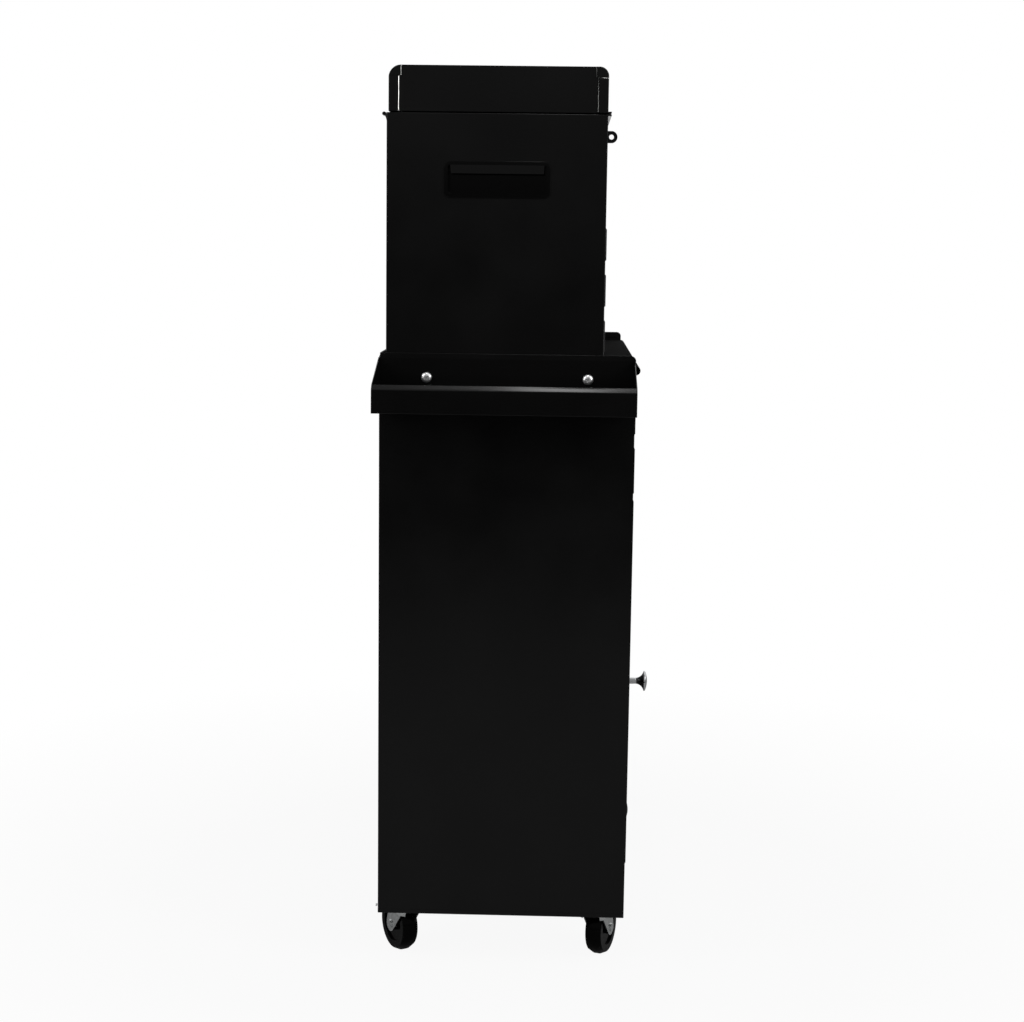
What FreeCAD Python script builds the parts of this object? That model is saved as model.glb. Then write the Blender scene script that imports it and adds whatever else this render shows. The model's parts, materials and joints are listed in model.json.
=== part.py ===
import FreeCAD, Part
import math
import os

# Rolling tool cabinet with a lift-off top chest, in millimetres.
# The front faces -Y, +Z is up, and the left side, which carries the tray, is at -X.
# Pieces are drawn about the middle of the base cabinet, on the floor at Z = 0.
# On the way out each one moves so that the origin is the middle of the whole footprint.

# Sheet metal
sheet = 1.0
hem = 8.0
flange = 12.0

# Base cabinet
body_w = 610.0
body_d = 308.5
body_h = 690.6
deck_recess = 17.0
upstand = 12.0
upstand_round = 6.0
head_taper = 0.65
skirt_hem = 6.0
crease_up = 5.0
crease_h = 0.8
crease_d = 0.3
plinth_h = 64.6
rail_h = 4.0
nose_r = 5.5
top_flange = 7.0
weld_gap = 1.0
screw_fit = 0.15

# Fronts of the drawers and the door
front_proud = 1.5
front_gap = 1.5
front_row_gap = 2.5
base_front_h = 70.0
base_drawer_count = 2
front_return = 12.0
pull_h = 15.0
pull_d = 8.0
pull_lip = 3.0

# Drawer boxes and their slides
slide_w = 13.2
slide_h = 26.0
slide_sheet = 1.2
slide_gap = 0.3
slide_end = 8.0
bracket_len = 18.0
bracket_h = 16.0
box_drop = 12.0
box_lift = 5.0
box_hem = 4.0
drawer_back_room = 12.0

# Door
door_return = 14.0
door_lip = 8.0
pivot_in = 6.0
pivot_back = 4.0
pivot_r = 2.5
pivot_fit = 0.05
pivot_reach = 5.0
pivot_collar_r = 4.5
pivot_foot_w = 24.0
knob_in = 41.5
knob_up = 224.7
knob_len = 23.4
knob_r = 12.5
knob_neck_r = 3.9
knob_neck_len = 6.4
knob_rim = 1.6
knob_rim_at = 19.0
knob_flare = 1.6
knob_screw_r = 2.0
knob_screw_len = 9.0
knob_screw_head_r = 4.0
knob_screw_head_h = 2.4
catch_in = 46.5
catch_w = 40.0
catch_h = 14.0
catch_d = 16.0
catch_slope = 4.7
strike_h = 16.0

# Shelf in the cupboard
shelf_up = 225.0
shelf_edge = 16.0
shelf_side_gap = 2.0
shelf_back_gap = 2.0
shelf_front_room = 24.0
clip_r = 3.5
clip_len = 12.0
clip_end_room = 30.0

# Side tray
tray_out = 88.0
tray_drop = 53.6
tray_back_h = 60.0
tray_lip_h = 33.2
tray_rim = 5.0
tray_end_room = 1.0
tray_past_back = 0.8
tray_bend_r = 0.7
tray_screw_in = 57.25
tray_screw_up = 36.5
tray_screw_r = 2.5
tray_head_r = 6.5
tray_head_h = 3.4
tray_nut_af = 8.0
tray_nut_h = 3.5

# Casters
caster_in = 45.0
caster_end_in = 34.75
wheel_r = 35.0
wheel_w = 21.0
tread_flat = 7.0
shoulder_drop = 3.4
hub_r = 9.0
hub_recess_r = 23.0
hub_recess = 2.5
axle_r = 4.0
axle_fit = 0.05
axle_head_r = 5.5
axle_head_h = 1.6
trail = 25.0
fork_sheet = 2.0
fork_gap = 1.3
crown_room = 7.0
fork_leg_w = 48.0
fork_tip_r = 10.0
fork_bell_r = 26.0
fork_bell_waist_r = 19.0
fork_bell_h = 20.0
race_h = 9.0
race_r = 22.0
race_top_r = 19.0
race_gap = 0.3
kingpin_r = 5.0
kingpin_fit = 0.05
plate_side = 60.0
plate_t = 2.5
plate_round = 6.0
plate_bolt_pitch = 46.0
bolt_r = 3.0
bolt_head_af = 10.0
bolt_head_h = 3.0
nut_af = 10.0
nut_h = 4.5
# The way that each wheel trails, in degrees from +X
turn_front_left = -20.0
turn_back_left = 31.0
turn_front_right = -90.0
turn_back_right = -78.0

# Screws that hold the bottom pan at the back
pan_screw_r = 2.0
pan_screw_head_r = 4.6
pan_screw_head_h = 2.0
pan_screw_len = 8.0
pan_screw_up = 8.5

# Top chest
chest_side_in = 5.0
chest_front_in = 39.15
chest_back_in = 7.65
chest_lift = 3.0
foot_gap = 0.3
foot_r = 9.0
foot_low_r = 8.0
foot_in = 26.0
chest_h = 292.3
till_d = 116.0
chest_sill = 12.0
chest_drawer_count = 3
rim_out = 2.6
rim_t = 1.8
hasp_notch = 36.0

# Carrying handles let into the chest sides
cup_w = 126.3
cup_h = 43.1
cup_drop = 77.3
cup_round = 8.0
cup_rim = 3.0
cup_rim_t = 1.2
cup_d = 24.0
cup_wall = 1.5
grip_h = 10.0
grip_in = 6.0
grip_end = 4.0

# Lid
lid_gap = 1.5
lid_h = 53.4
lid_front_in = 1.4
lid_back_in = 2.2
lid_back_round = 15.0
lid_front_round = 11.0
lid_tab_w = 12.3
lid_tab_h = 40.5
lid_tab_t = 0.8
lid_seam = 0.8
lid_ear_w = 15.0

# Lid hinge, a long row of knuckles rolled round one pin
hinge_end_in = 20.0
knuckle_count = 16
knuckle_r = 2.3
knuckle_gap = 0.3
leaf_reach = 0.5
hinge_pin_r = 1.2
hinge_pin_fit = 0.05
hinge_out = 4.9
hinge_up = -0.3
hinge_leaf = 0.8
hinge_leaf_h = 14.0

# Padlock staple and hasp
staple_drop = 9.0
staple_out = 18.0
staple_r = 8.0
staple_hole_r = 3.3
staple_t = 3.0
staple_plate_w = 26.0
staple_plate_h = 16.0
staple_plate_t = 1.2
hasp_w = 24.0
hasp_len = 38.0
hasp_ear_w = 4.0
hasp_t = 1.5
hasp_round = 6.0
hasp_axis_out = 3.8
hasp_axis_up = 4.5
hasp_knuckle_r = 2.2
hasp_pin_r = 1.1
hasp_bracket_h = 14.0
hasp_slot_w = 6.0
hasp_slot_play = 1.5

# How near two places count as one
touch = 0.01

# Levels and faces that follow from the sizes above
fork_top = 2 * wheel_r + crown_room
plate_z0 = fork_top + race_h
pan_z = plate_z0 + plate_t
skirt_z = pan_z - deck_recess
top_z = skirt_z + body_h
half_w = body_w / 2
wall_in = half_w - sheet
y_back = body_d / 2
y_fold = -body_d / 2
y_face = y_fold - front_proud
back_in = y_back - 2 * sheet
upstand_z = top_z + upstand
opening_half = half_w - flange
front_half = opening_half - front_gap
rail_z = skirt_z + plinth_h
nose_z = top_z - 2 * nose_r
base_fronts_h = base_drawer_count * base_front_h + (base_drawer_count - 1) * front_row_gap
base_first_z = nose_z - front_row_gap - base_fronts_h
cupboard_top_z = base_first_z - front_row_gap
rail_low_z = cupboard_top_z - rail_h
chest_half = half_w - chest_side_in
chest_y0 = y_face + chest_front_in
chest_y1 = y_back - chest_back_in
chest_z0 = top_z + chest_lift
chest_top_z = chest_z0 + chest_h
till_floor_z = chest_top_z - till_d
chest_in = chest_half - sheet
chest_fold = chest_y0 + front_proud
lid_z0 = chest_top_z + lid_gap
lid_top_z = lid_z0 + lid_h
lid_y0 = chest_y0 + lid_front_in
lid_y1 = chest_y1 - lid_back_in
hinge_len = 2 * (chest_half - hinge_end_in)
hinge_y = chest_y1 + hinge_out
hinge_z = chest_top_z + hinge_up
staple_z = chest_top_z - staple_drop
staple_y = chest_y0 - staple_out + staple_r
hasp_y = lid_y0 - hasp_axis_out
hasp_z = lid_z0 + hasp_axis_up
cup_y = (chest_y0 + chest_y1) / 2
cup_z = chest_top_z - cup_drop
pan_flange_z = skirt_z + skirt_hem + weld_gap
pan_screw_z = skirt_z + pan_screw_up
pan_screw_x = opening_half + flange / 2
base_box_half = opening_half - slide_w
base_box_end = back_in - drawer_back_room
chest_open_half = chest_half - flange
chest_front_half = chest_open_half - front_gap
chest_box_half = chest_open_half - slide_w
chest_box_end = chest_y1 - 2 * sheet - drawer_back_room
chest_fronts_z0 = chest_z0 + chest_sill
chest_front_h = (till_floor_z - chest_fronts_z0) / chest_drawer_count - front_row_gap
door_z0 = rail_z + front_row_gap
door_z1 = rail_low_z - front_row_gap
pivot_x = front_half - pivot_in
pivot_y = y_face + pivot_back
knob_x = knob_in - front_half
knob_z = door_z0 + knob_up
catch_x = catch_in - front_half
shelf_z = rail_z + shelf_up
tray_bottom_z = top_z - tray_drop
tray_back_top_z = tray_bottom_z + tray_back_h
tray_screw_z = tray_bottom_z + tray_screw_up
tray_screw_y = body_d / 2 - tray_screw_in
caster_x = half_w - caster_in
caster_y = body_d / 2 - caster_end_in
leg_y0 = wheel_w / 2 + fork_gap
leg_y1 = leg_y0 + fork_sheet
kingpin_top = pan_z - plate_t / 2
# Half the wheel's outline from the tread's flat crest to its tapered edge, as (across, radius)
tread_corners = ((tread_flat / 2, wheel_r), (wheel_w / 2, wheel_r - shoulder_drop))


def wheel_reach(turn):
    """How far a turned wheel stands out along Y from its kingpin."""
    trailing = abs(math.sin(math.radians(turn)))
    beside = abs(math.cos(math.radians(turn)))
    return max((trail + radius) * trailing + across * beside for across, radius in tread_corners)


# The middle of the whole footprint, which ends at the tray, the knob, screw heads or wheels
front_wheels = caster_y + max(wheel_reach(turn_front_left), wheel_reach(turn_front_right))
footprint_y0 = min(y_face - knob_len, -front_wheels)
footprint_y1 = max(y_back + pan_screw_head_h, caster_y + wheel_reach(turn_back_left))
shift = FreeCAD.Vector(tray_out / 2, -(footprint_y0 + footprint_y1) / 2, 0)


def box(x0, x1, y0, y1, z0, z1):
    size = (x1 - x0, y1 - y0, z1 - z0)
    return Part.makeBox(*size, FreeCAD.Vector(x0, y0, z0))


def rod(x, y, z, radius, length, axis):
    return Part.makeCylinder(radius, length, FreeCAD.Vector(x, y, z), FreeCAD.Vector(*axis))


def fuse(shapes):
    return shapes[0].multiFuse(shapes[1:]).removeSplitter()


def mirror_x(shape):
    return shape.mirror(FreeCAD.Vector(0, 0, 0), FreeCAD.Vector(1, 0, 0))


def both_sides(shape):
    return [shape, mirror_x(shape)]


def pan_head(x, y, z, radius, height, axis):
    """A screw head that tapers away from its seat."""
    return Part.makeCone(radius, radius * head_taper, height, FreeCAD.Vector(x, y, z), FreeCAD.Vector(*axis))


def hexagon(x, y, z, across_flats, height, axis):
    """A hexagon nut or head that starts at a point and grows along an axis."""
    radius = across_flats / math.sqrt(3)
    sides = 6
    points = []
    for corner in range(sides + 1):
        angle = 2 * math.pi * corner / sides
        points.append(FreeCAD.Vector(radius * math.cos(angle), radius * math.sin(angle), 0))
    solid = Part.Face(Part.makePolygon(points)).extrude(FreeCAD.Vector(0, 0, height))
    turn = FreeCAD.Rotation(FreeCAD.Vector(0, 0, 1), FreeCAD.Vector(*axis))
    solid.Placement = FreeCAD.Placement(FreeCAD.Vector(x, y, z), turn)
    return solid


def bent_sheet(path, thick, x0, x1):
    """Sheet bent along a path of (y, z) points, its thickness on the path's left side."""
    count = len(path)
    normals = []
    for (ya, za), (yb, zb) in zip(path, path[1:]):
        length = math.hypot(yb - ya, zb - za)
        normals.append((-(zb - za) / length, (yb - ya) / length))
    inner = []
    for i in range(count):
        before = normals[max(i - 1, 0)]
        after = normals[min(i, count - 2)]
        scale = thick / (1 + before[0] * after[0] + before[1] * after[1])
        y = path[i][0] + (before[0] + after[0]) * scale
        z = path[i][1] + (before[1] + after[1]) * scale
        inner.append((y, z))
    ring = list(path) + inner[::-1]
    points = [FreeCAD.Vector(x0, y, z) for y, z in ring]
    face = Part.Face(Part.makePolygon(points + points[:1]))
    return face.extrude(FreeCAD.Vector(x1 - x0, 0, 0))


def edges_along_x(shape, y, z):
    """The edges of a shape that run along X at one height and depth."""
    found = []
    for edge in shape.Edges:
        middle = edge.CenterOfMass
        if abs(middle.y - y) < touch and abs(middle.z - z) < touch:
            found.append(edge)
    return found


def edges_along(shape, direction):
    """The straight edges of a shape that run along a direction."""
    found = []
    for edge in shape.Edges:
        if abs(edge.tangentAt(edge.FirstParameter).dot(FreeCAD.Vector(*direction))) > 1 - touch:
            found.append(edge)
    return found


def write(name, shapes):
    """Write one node, as one solid or as a group of like solids."""
    moved = []
    for shape in shapes:
        for solid in shape.Solids:
            copy = solid.copy()
            copy.translate(shift)
            moved.append(copy)
    result = moved[0] if len(moved) == 1 else Part.makeCompound(moved)
    result.exportStep("parts/" + name + ".step")


# Base cabinet: folded side, back, top and bottom panels
def side_panel():
    panel = box(wall_in, half_w, y_fold, y_back, skirt_z, upstand_z)
    corners = []
    for y in (y_fold, y_back):
        corners += edges_along_x(panel, y, upstand_z)
    panel = panel.makeFillet(upstand_round, corners)
    front_fold = box(opening_half, wall_in, y_fold, y_fold + sheet, skirt_z, nose_z)
    back_fold = box(opening_half, wall_in, y_back - sheet, y_back, skirt_z, top_z)
    low_hem = box(wall_in - sheet, wall_in, y_fold + 2 * sheet, back_in, skirt_z, skirt_z + skirt_hem)
    top_hem_y0 = y_fold + upstand_round
    top_hem = box(wall_in - sheet, wall_in, top_hem_y0, back_in - sheet, upstand_z - hem, upstand_z)
    panel = fuse([panel, front_fold, back_fold, low_hem, top_hem])
    # A pressed line runs round the foot of the panel, above its hem
    crease_z = skirt_z + crease_up
    panel = panel.cut(box(half_w - crease_d, half_w, y_fold, y_back, crease_z, crease_z + crease_h))
    return panel.cut(rod(pan_screw_x, y_back - sheet, pan_screw_z, pan_screw_r + screw_fit, sheet, (0, 1, 0)))


def tray_screw_places():
    return [-tray_screw_y, tray_screw_y]


def left_side_panel():
    panel = mirror_x(side_panel())
    for y in tray_screw_places():
        panel = panel.cut(rod(-half_w, y, tray_screw_z, tray_screw_r + screw_fit, sheet, (1, 0, 0)))
    return panel


def back_panel():
    panel = box(-wall_in, wall_in, back_in, back_in + sheet, skirt_z, upstand_z)
    hem_half = wall_in - sheet
    top_hem = box(-hem_half, hem_half, back_in - sheet, back_in, upstand_z - hem, upstand_z)
    panel = fuse([panel, top_hem])
    for x in (-pan_screw_x, pan_screw_x):
        panel = panel.cut(rod(x, back_in, pan_screw_z, pan_screw_r + screw_fit, sheet, (0, 1, 0)))
    return panel


def top_panel():
    front = y_fold + sheet
    plate = box(-wall_in, wall_in, y_fold, back_in, top_z - sheet, top_z)
    side = box(wall_in - sheet, wall_in, front + flange, back_in, top_z - sheet - top_flange, top_z - sheet)
    # The front edge is rolled into a hollow half-round nose across the whole width
    outer = rod(-half_w, y_fold, top_z - nose_r, nose_r, body_w, (1, 0, 0))
    inner = rod(-half_w, y_fold, top_z - nose_r, nose_r - sheet, body_w, (1, 0, 0))
    behind = box(-half_w, half_w, y_fold, y_fold + nose_r, nose_z, top_z)
    nose = outer.cut(inner).cut(behind)
    tuck = box(-opening_half, opening_half, y_fold, y_fold + flange, nose_z, nose_z + sheet)
    return fuse([plate, nose, tuck] + both_sides(side))


def bottom_panel():
    front = y_fold + 2 * sheet
    plate = box(-wall_in, wall_in, front, back_in, pan_z, pan_z + sheet)
    side = box(wall_in - sheet, wall_in, front, back_in, pan_flange_z, pan_z)
    edge_half = wall_in - sheet
    front_edge = box(-edge_half, edge_half, front, front + sheet, pan_flange_z, pan_z)
    back_edge = box(-edge_half, edge_half, back_in - sheet, back_in, skirt_z + sheet, pan_z)
    panel = fuse([plate, front_edge, back_edge] + both_sides(side))
    for x, y in caster_places():
        for bolt_x, bolt_y in bolt_places(x, y):
            panel = panel.cut(rod(bolt_x, bolt_y, pan_z, bolt_r + screw_fit, sheet, (0, 0, 1)))
    for x in (-pan_screw_x, pan_screw_x):
        panel = panel.cut(rod(x, back_in - sheet, pan_screw_z, pan_screw_r + screw_fit, sheet, (0, 1, 0)))
    return panel


def plinth():
    front = y_fold + sheet
    plate = box(-wall_in, wall_in, front, front + sheet, skirt_z, rail_z)
    ledge = box(-opening_half, opening_half, front, y_fold + flange, rail_z - sheet, rail_z)
    low_hem = box(-opening_half, opening_half, front, front + sheet, skirt_z, skirt_z + skirt_hem)
    return fuse([plate, ledge, low_hem])


def drawer_deck():
    front = y_fold + sheet
    plate = box(-wall_in, wall_in, front, back_in, rail_low_z, rail_low_z + sheet)
    rail = box(-opening_half, opening_half, y_fold, front, rail_low_z, cupboard_top_z)
    side = box(wall_in - sheet, wall_in, front + flange, back_in, rail_low_z - flange, rail_low_z)
    return fuse([plate, rail] + both_sides(side))


def pan_screws():
    """Pan-head screws through the back folds into the edge of the bottom panel."""
    pieces = []
    for x in (-pan_screw_x, pan_screw_x):
        head = pan_head(x, y_back, pan_screw_z, pan_screw_head_r, pan_screw_head_h, (0, 1, 0))
        shank = rod(x, y_back - pan_screw_len, pan_screw_z, pan_screw_r, pan_screw_len, (0, 1, 0))
        pieces.append(fuse([head, shank]))
    return pieces


# Shelf that rests on four clips pushed into the side panels
def shelf():
    half = wall_in - shelf_side_gap
    y0 = y_fold + shelf_front_room
    y1 = back_in - shelf_back_gap
    plate = box(-half, half, y0, y1, shelf_z, shelf_z + sheet)
    front_edge = box(-half, half, y0, y0 + sheet, shelf_z - shelf_edge, shelf_z)
    back_edge = box(-half, half, y1 - sheet, y1, shelf_z - shelf_edge, shelf_z)
    low_turn = box(-half, half, y0, y0 + flange, shelf_z - shelf_edge, shelf_z - shelf_edge + sheet)
    return fuse([plate, front_edge, back_edge, low_turn])


def shelf_clips():
    clips = []
    y0 = y_fold + shelf_front_room + clip_end_room
    y1 = back_in - shelf_back_gap - clip_end_room
    for y in (y0, y1):
        clips += both_sides(rod(wall_in - clip_len, y, shelf_z - clip_r, clip_r, clip_len, (1, 0, 0)))
    return clips


# Drawers: a folded box with its runners, and a front with a finger pull along its top
def drawer_front(z0, height, half, face):
    top = z0 + height
    path = [
        (face + pull_lip, top - sheet),
        (face + pull_d, top - sheet),
        (face + pull_d, top - pull_h + pull_d),
        (face, top - pull_h),
        (face, z0),
        (face + front_return, z0),
    ]
    front = bent_sheet(path, sheet, -half, half)
    end = box(half - sheet, half, face, face + front_return, z0, top - pull_h)
    return fuse([front] + both_sides(end))


def drawer_box(z0, height, half, face, y_end):
    low = z0 + box_lift
    high = z0 + height - box_drop
    y0 = face + front_return
    outer = box(-half, half, y0, y_end, low, high)
    inner = box(-half + sheet, half - sheet, y0 + sheet, y_end - sheet, low + sheet, high)
    side_hem = box(half - 2 * sheet, half - sheet, y0 + sheet, y_end - sheet, high - box_hem, high)
    tongue = box(-half, half, face + sheet, y0, low, low + sheet)
    runners = runner_pair(half, y0 + slide_end, y_end, (low + high) / 2)
    return fuse([outer.cut(inner), tongue] + both_sides(side_hem) + runners)


def runner_pair(half, y0, y1, centre):
    """The inner members, which stand out of the box sides into the channels."""
    reach = half + slide_w - slide_sheet - slide_gap
    rise = slide_h / 2 - slide_sheet - slide_gap
    outer = box(half, reach, y0, y1, centre - rise, centre + rise)
    room = box(half + slide_sheet, reach, y0, y1, centre - rise + slide_sheet, centre + rise - slide_sheet)
    return both_sides(outer.cut(room))


def channel_pair(opening, wall, y0, y1, centre):
    """The outer members, C channels on brackets that stand off the cabinet's walls."""
    rise = slide_h / 2
    depth = slide_w - slide_sheet
    outer = box(opening - depth, opening, y0, y1, centre - rise, centre + rise)
    room_rise = rise - slide_sheet
    room = box(opening - depth, opening - slide_sheet, y0, y1, centre - room_rise, centre + room_rise)
    parts = [outer.cut(room)]
    low = centre - bracket_h / 2
    high = centre + bracket_h / 2
    for y in (y0, y1 - bracket_len):
        arm = box(opening, wall, y, y + bracket_len, low, high)
        hollow = box(opening + slide_sheet, wall - slide_sheet, y, y + bracket_len, low, high)
        web = box(opening, wall, y, y + slide_sheet, low, high)
        parts.append(fuse([arm.cut(hollow), web]))
    return both_sides(fuse(parts))


def base_drawer_z(i):
    return base_first_z + i * (base_front_h + front_row_gap)


def chest_drawer_z(i):
    return chest_fronts_z0 + i * (chest_front_h + front_row_gap)


def box_centre(z0, height):
    return z0 + (box_lift + height - box_drop) / 2


def base_slides():
    channels = []
    for i in range(base_drawer_count):
        centre = box_centre(base_drawer_z(i), base_front_h)
        y0 = y_face + front_return + slide_end
        channels += channel_pair(opening_half, wall_in, y0, base_box_end, centre)
    return channels


def chest_slides():
    channels = []
    for i in range(chest_drawer_count):
        centre = box_centre(chest_drawer_z(i), chest_front_h)
        y0 = chest_y0 + front_return + slide_end
        channels += channel_pair(chest_open_half, chest_in, y0, chest_box_end, centre)
    return channels


# Door: a folded pan that turns on two pins at its right edge
def door_panel():
    y1 = y_face + door_return
    outer = box(-front_half, front_half, y_face, y1, door_z0, door_z1)
    in_half = front_half - sheet
    room = box(-in_half, in_half, y_face + sheet, y1 - sheet, door_z0 + sheet, door_z1 - sheet)
    lip_half = front_half - door_lip
    mouth = box(-lip_half, lip_half, y1 - sheet, y1, door_z0 + door_lip, door_z1 - door_lip)
    panel = outer.cut(room).cut(mouth)
    for z in (door_z0, door_z1 - sheet):
        panel = panel.cut(rod(pivot_x, pivot_y, z, pivot_r + pivot_fit, sheet, (0, 0, 1)))
    return panel.cut(rod(knob_x, y_face, knob_z, knob_screw_r + screw_fit, sheet, (0, 1, 0)))


def pivot_foot(z):
    half = pivot_foot_w / 2
    plate = box(pivot_x - half, pivot_x + half, y_fold + 2 * sheet, y_fold + flange, z, z + sheet)
    return plate.common(box(-opening_half, opening_half, y_fold, 0, z, z + sheet))


def door_pivots():
    """A pin on a foot above the plinth, and one that hangs below the drawer deck."""
    collar_top = door_z0 - slide_gap
    low_top = door_z0 + sheet + pivot_reach
    low_pin = rod(pivot_x, pivot_y, rail_z, pivot_r, low_top - rail_z, (0, 0, 1))
    collar = rod(pivot_x, pivot_y, rail_z, pivot_collar_r, collar_top - rail_z, (0, 0, 1))
    low = fuse([pivot_foot(rail_z), collar, low_pin])
    high_z = door_z1 - sheet - pivot_reach
    high_pin = rod(pivot_x, pivot_y, high_z, pivot_r, rail_low_z - high_z, (0, 0, 1))
    high = fuse([pivot_foot(rail_low_z - sheet), high_pin])
    return [low, high]


def knob_point(out, radius):
    return FreeCAD.Vector(knob_x, y_face - out, knob_z + radius)


def door_knob():
    """A trumpet-shaped pull turned in one piece, with a domed front."""
    waist = (knob_neck_len + knob_rim_at) / 2 + knob_flare
    rim_front = knob_rim_at + knob_rim
    rise = knob_len - rim_front
    dome_r = (knob_r ** 2 + rise ** 2) / (2 * rise)
    half_angle = math.asin(knob_r / dome_r) / 2
    dome_out = knob_len - dome_r * (1 - math.cos(half_angle))
    edges = [
        Part.LineSegment(knob_point(0, 0), knob_point(0, knob_neck_r)).toShape(),
        Part.LineSegment(knob_point(0, knob_neck_r), knob_point(knob_neck_len, knob_neck_r)).toShape(),
        Part.Arc(
            knob_point(knob_neck_len, knob_neck_r),
            knob_point(waist, knob_neck_r + knob_flare),
            knob_point(knob_rim_at, knob_r),
        ).toShape(),
        Part.LineSegment(knob_point(knob_rim_at, knob_r), knob_point(rim_front, knob_r)).toShape(),
        Part.Arc(
            knob_point(rim_front, knob_r),
            knob_point(dome_out, dome_r * math.sin(half_angle)),
            knob_point(knob_len, 0),
        ).toShape(),
        Part.LineSegment(knob_point(knob_len, 0), knob_point(0, 0)).toShape(),
    ]
    profile = Part.Face(Part.Wire(edges))
    knob = profile.revolve(knob_point(0, 0), FreeCAD.Vector(0, -1, 0), 360)
    bore_r = knob_screw_r + screw_fit
    return knob.cut(rod(knob_x, y_face, knob_z, bore_r, knob_screw_len + screw_fit, (0, -1, 0)))


def knob_screw():
    shank = rod(knob_x, y_face + sheet, knob_z, knob_screw_r, sheet + knob_screw_len, (0, -1, 0))
    head = rod(knob_x, y_face + sheet, knob_z, knob_screw_head_r, knob_screw_head_h, (0, 1, 0))
    return fuse([head, shank])


def magnet_catch():
    y0 = y_face + door_return + sheet + slide_gap
    half = catch_w / 2
    low = rail_low_z - catch_h
    body = box(catch_x - half, catch_x + half, y0, y0 + catch_d, low, rail_low_z)
    return body.makeChamfer(catch_slope, edges_along_x(body, y0 + catch_d, low))


def strike_plate():
    half = catch_w / 2
    y0 = y_face + door_return
    top = door_z1 - sheet
    return box(catch_x - half, catch_x + half, y0, y0 + sheet, top - strike_h, top)


# Side tray: one folded sheet, screwed to the left side panel
def side_tray():
    y0 = y_fold + tray_end_room
    y1 = y_back + tray_past_back
    x_in = -half_w
    x_out = -half_w - tray_out
    lip_z = tray_bottom_z + tray_lip_h
    back = box(x_in - sheet, x_in, y0, y1, tray_bottom_z, tray_back_top_z)
    floor = box(x_out, x_in, y0, y1, tray_bottom_z, tray_bottom_z + sheet)
    lip = box(x_out, x_out + sheet, y0, y1, tray_bottom_z, lip_z - tray_rim)
    # The rim leans in at 45 degrees above the lip
    rim_points = [
        FreeCAD.Vector(x_out, y0, lip_z - tray_rim),
        FreeCAD.Vector(x_out + sheet, y0, lip_z - tray_rim),
        FreeCAD.Vector(x_out + tray_rim + sheet, y0, lip_z),
        FreeCAD.Vector(x_out + tray_rim, y0, lip_z),
    ]
    rim = Part.Face(Part.makePolygon(rim_points + rim_points[:1])).extrude(FreeCAD.Vector(0, y1 - y0, 0))
    end_points = [
        FreeCAD.Vector(x_in, y0, tray_bottom_z),
        FreeCAD.Vector(x_in, y0, tray_back_top_z),
        FreeCAD.Vector(x_in - sheet, y0, tray_back_top_z),
        FreeCAD.Vector(x_out + tray_rim, y0, lip_z),
        FreeCAD.Vector(x_out, y0, lip_z - tray_rim),
        FreeCAD.Vector(x_out, y0, tray_bottom_z),
    ]
    end = Part.Face(Part.makePolygon(end_points + end_points[:1])).extrude(FreeCAD.Vector(0, sheet, 0))
    far_end = end.copy()
    far_end.translate(FreeCAD.Vector(0, y1 - y0 - sheet, 0))
    tray = fuse([back, floor, lip, rim, end, far_end])
    corners = []
    for edge in tray.Edges:
        middle = edge.CenterOfMass
        on_lip = abs(middle.x - x_out) < touch
        if on_lip and abs(middle.z - tray_bottom_z) < touch:
            corners.append(edge)
    tray = tray.makeFillet(tray_bend_r, corners)
    for y in tray_screw_places():
        tray = tray.cut(rod(x_in - sheet, y, tray_screw_z, tray_screw_r + screw_fit, sheet, (1, 0, 0)))
    return tray


def tray_fasteners():
    """Pan-head screws from the tray side, with nuts inside the cabinet."""
    pieces = []
    head_x = -half_w - sheet
    for y in tray_screw_places():
        head = pan_head(head_x, y, tray_screw_z, tray_head_r, tray_head_h, (-1, 0, 0))
        shank = rod(head_x, y, tray_screw_z, tray_screw_r, 2 * sheet + tray_nut_h, (1, 0, 0))
        nut = hexagon(-wall_in, y, tray_screw_z, tray_nut_af, tray_nut_h, (1, 0, 0))
        pieces.append(fuse([head, shank]))
        bore = rod(-wall_in, y, tray_screw_z, tray_screw_r + screw_fit, tray_nut_h, (1, 0, 0))
        pieces.append(nut.cut(bore))
    return pieces


# Casters: a bolted plate with a ball race, a trailing fork, an axle and a wheel
def caster_places():
    return [
        (-caster_x, -caster_y),
        (-caster_x, caster_y),
        (caster_x, -caster_y),
        (caster_x, caster_y),
    ]


def bolt_places(x, y):
    reach = plate_bolt_pitch / 2
    return [(x + sx * reach, y + sy * reach) for sx in (-1, 1) for sy in (-1, 1)]


def caster_plate(x, y):
    half = plate_side / 2
    plate = box(x - half, x + half, y - half, y + half, plate_z0, pan_z)
    plate = plate.makeFillet(plate_round, edges_along(plate, (0, 0, 1)))
    for bolt_x, bolt_y in bolt_places(x, y):
        plate = plate.cut(rod(bolt_x, bolt_y, plate_z0, bolt_r + screw_fit, plate_t, (0, 0, 1)))
    race_low = fork_top + race_gap
    race = Part.makeCone(race_r, race_top_r, plate_z0 - race_low, FreeCAD.Vector(x, y, race_low))
    hole = rod(x, y, race_low, kingpin_r + kingpin_fit, kingpin_top - race_low + race_gap, (0, 0, 1))
    return fuse([plate, race]).cut(hole)


def caster_bolts():
    """Hexagon-head bolts from below, each with its nut run up against the bottom panel."""
    pieces = []
    for x, y in caster_places():
        for bolt_x, bolt_y in bolt_places(x, y):
            head = hexagon(bolt_x, bolt_y, plate_z0 - bolt_head_h, bolt_head_af, bolt_head_h, (0, 0, 1))
            shank = rod(bolt_x, bolt_y, plate_z0, bolt_r, plate_t + sheet, (0, 0, 1))
            nut = hexagon(bolt_x, bolt_y, pan_z + sheet, nut_af, nut_h, (0, 0, 1))
            pieces.append(fuse([head, shank, nut]))
    return pieces


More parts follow.
